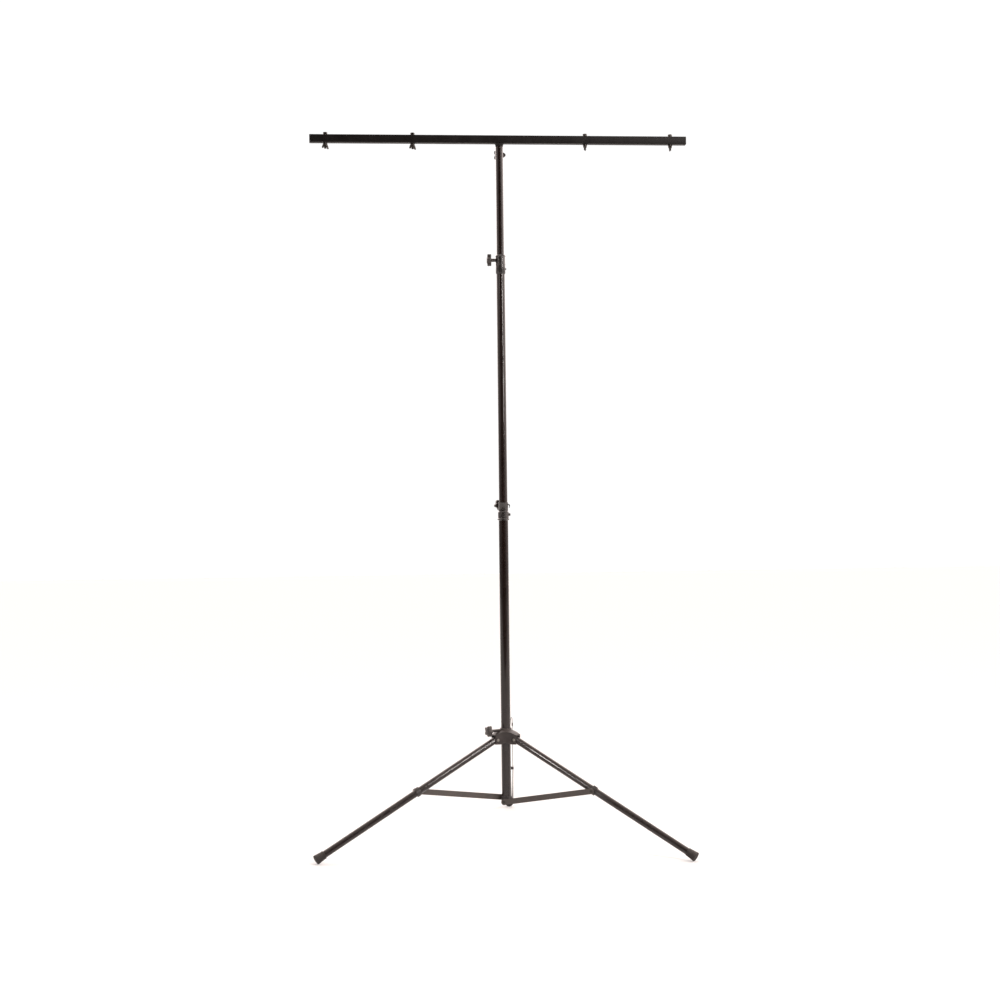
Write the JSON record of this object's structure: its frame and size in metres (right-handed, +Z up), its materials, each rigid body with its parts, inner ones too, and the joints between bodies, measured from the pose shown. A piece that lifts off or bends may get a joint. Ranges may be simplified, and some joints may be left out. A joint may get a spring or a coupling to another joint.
{
  "type": "lighting t bar stand",
  "caption": "Folding tripod stand with a telescoping mast and a square T-bar with bolts and wing nuts for lamps.",
  "frame": {"origin": "on the floor under the middle of the box that the stand fills", "axes": "+X along the T-bar to the right as seen from the front, +Y to the back, +Z up along the mast"},
  "size_m": [1.209, 1.0592, 2.2516],
  "materials": {
    "painted_tube": "black gloss powder coat",
    "painted_steel": "black satin powder coat",
    "bar_paint": "black textured powder coat",
    "moulded_plastic": "black moulded nylon, matt",
    "knob_plastic": "black moulded knob, satin",
    "rubber": "black rubber, matt",
    "black_screw": "black oxide steel, satin",
    "steel": "zinc-plated steel"
  },
  "bodies": {
    "lower_mast": {"lower_tube": "painted_tube", "mid_collar": "moulded_plastic", "mid_collar_bolt": "black_screw", "mid_collar_washer": "steel", "brace_bracket": "painted_steel", "bracket_rivet_front_left": "black_screw", "bracket_rivet_front_right": "black_screw", "bracket_rivet_back": "black_screw"},
    "middle_mast": {"middle_tube": "painted_tube", "middle_tube_plug": "moulded_plastic", "top_collar": "moulded_plastic", "top_collar_screw": "black_screw"},
    "top_mast": {"top_tube": "painted_tube", "top_tube_plug": "moulded_plastic", "bar_knob_boss": "painted_steel"},
    "t_bar_head": {"t_bar": "bar_paint", "bar_cap_left": "moulded_plastic", "bar_cap_right": "moulded_plastic", "bar_spigot": "bar_paint", "bar_bolt_1": "black_screw", "bar_bolt_2": "black_screw", "bar_bolt_3": "black_screw", "bar_bolt_4": "black_screw"},
    "hub_slider": {"hub": "moulded_plastic", "hub_ring": "painted_steel", "leg_pivot_front_left": "steel", "leg_pivot_front_right": "steel", "leg_pivot_back": "steel", "lanyard_anchor": "black_screw", "lanyard_wire": "steel", "lanyard_ferrule": "black_screw", "lanyard_ring": "steel"},
    "mid_clamp": {"mid_knob": "knob_plastic", "mid_knob_stud": "steel"},
    "top_clamp": {"top_knob": "knob_plastic", "top_knob_stud": "steel"},
    "bar_clamp": {"bar_knob": "knob_plastic", "bar_knob_stud": "steel"},
    "hub_clamp": {"hub_knob": "knob_plastic", "hub_knob_stud": "steel"},
    "wing_nut_1": {"wing_nut_1": "black_screw"},
    "wing_nut_2": {"wing_nut_2": "black_screw"},
    "wing_nut_3": {"wing_nut_3": "black_screw"},
    "wing_nut_4": {"wing_nut_4": "black_screw"},
    "leg_front_left": {"leg_front_left": "painted_tube", "foot_front_left": "rubber", "leg_clip_front_left": "painted_steel"},
    "brace_front_left": {"brace_front_left": "painted_steel", "brace_rivet_front_left": "black_screw"},
    "leg_front_right": {"leg_front_right": "painted_tube", "foot_front_right": "rubber", "leg_clip_front_right": "painted_steel"},
    "brace_front_right": {"brace_front_right": "painted_steel", "brace_rivet_front_right": "black_screw"},
    "leg_back": {"leg_back": "painted_tube", "foot_back": "rubber", "leg_clip_back": "painted_steel"},
    "brace_back": {"brace_back": "painted_steel", "brace_rivet_back": "black_screw"}
  },
  "joints": [
    {"name": "middle_tube_slide", "type": "slide", "parent": "lower_mast", "child": "middle_mast", "axis": [0, 0, 1], "range_m": [-0.7255, 0.03]},
    {"name": "top_tube_slide", "type": "slide", "parent": "middle_mast", "child": "top_mast", "axis": [0, 0, 1], "range_m": [-0.3145, 0.4]},
    {"name": "t_bar_swivel", "type": "hinge", "parent": "top_mast", "child": "t_bar_head", "pos_m": [0.00447, -0.13074, 2.188], "axis": [0, 0, 1], "continuous": true},
    {"name": "hub_slide", "type": "slide", "parent": "lower_mast", "child": "hub_slider", "axis": [0, 0, 1], "range_m": [0, 0.4346]},
    {"name": "leg_hinge_front_left", "type": "hinge", "parent": "hub_slider", "child": "leg_front_left", "pos_m": [-0.02933, -0.14579, 0.32736], "axis": [0.4067, -0.9135, 0], "range_deg": [0, 63.1]},
    {"name": "leg_hinge_front_right", "type": "hinge", "parent": "hub_slider", "child": "leg_front_right", "pos_m": [0.0344, -0.15249, 0.32736], "axis": [0.5878, 0.809, 0], "range_deg": [0, 63.1]},
    {"name": "leg_hinge_back", "type": "hinge", "parent": "hub_slider", "child": "leg_back", "pos_m": [0.00833, -0.09395, 0.32736], "axis": [-0.9945, 0.1045, 0], "range_deg": [0, 63.1]},
    {"name": "brace_hinge_front_left", "type": "hinge", "parent": "lower_mast", "child": "brace_front_left", "pos_m": [0.00447, -0.13074, 0.1395], "axis": [-0.4067, 0.9135, 0], "range_deg": [0, 74.79]},
    {"name": "brace_hinge_front_right", "type": "hinge", "parent": "lower_mast", "child": "brace_front_right", "pos_m": [0.00447, -0.13074, 0.1284], "axis": [-0.5878, -0.809, 0], "range_deg": [0, 72.86]},
    {"name": "brace_hinge_back", "type": "hinge", "parent": "lower_mast", "child": "brace_back", "pos_m": [0.00447, -0.13074, 0.1355], "axis": [0.9945, -0.1045, 0], "range_deg": [0, 74.09]},
    {"name": "mid_knob_screw", "type": "hinge", "parent": "lower_mast", "child": "mid_clamp", "pos_m": [0.00447, -0.13074, 1.071], "axis": [-0.289, 0.9573, 0], "range_deg": [0, 720]},
    {"name": "top_knob_screw", "type": "hinge", "parent": "middle_mast", "child": "top_clamp", "pos_m": [0.00447, -0.13074, 1.8485], "axis": [-0.9959, 0.0906, 0], "range_deg": [0, 720]},
    {"name": "bar_knob_screw", "type": "hinge", "parent": "top_mast", "child": "bar_clamp", "pos_m": [0.00447, -0.13074, 2.1891], "axis": [0.108, 0.9942, 0], "range_deg": [0, 720]},
    {"name": "hub_knob_screw", "type": "hinge", "parent": "hub_slider", "child": "hub_clamp", "pos_m": [0.00447, -0.13074, 0.35575], "axis": [-0.8988, -0.4384, 0], "range_deg": [0, 720]},
    {"name": "wing_nut_1_turn", "type": "hinge", "parent": "t_bar_head", "child": "wing_nut_1", "pos_m": [-0.54553, -0.13074, 2.218], "axis": [0, 0, 1], "continuous": true},
    {"name": "wing_nut_2_turn", "type": "hinge", "parent": "t_bar_head", "child": "wing_nut_2", "pos_m": [-0.27053, -0.13074, 2.218], "axis": [0, 0, 1], "continuous": true},
    {"name": "wing_nut_3_turn", "type": "hinge", "parent": "t_bar_head", "child": "wing_nut_3", "pos_m": [0.27947, -0.13074, 2.218], "axis": [0, 0, 1], "continuous": true},
    {"name": "wing_nut_4_turn", "type": "hinge", "parent": "t_bar_head", "child": "wing_nut_4", "pos_m": [0.55447, -0.13074, 2.218], "axis": [0, 0, 1], "continuous": true}
  ],
  "couplings": [
    {"joint": "leg_hinge_front_left", "follows": "hub_slide", "rad_per_m": 2.5341},
    {"joint": "leg_hinge_front_right", "follows": "hub_slide", "rad_per_m": 2.5341},
    {"joint": "leg_hinge_back", "follows": "hub_slide", "rad_per_m": 2.5341},
    {"joint": "brace_hinge_front_left", "follows": "hub_slide", "rad_per_m": 3.0034},
    {"joint": "brace_hinge_front_right", "follows": "hub_slide", "rad_per_m": 2.9259},
    {"joint": "brace_hinge_back", "follows": "hub_slide", "rad_per_m": 2.9753}
  ]
}
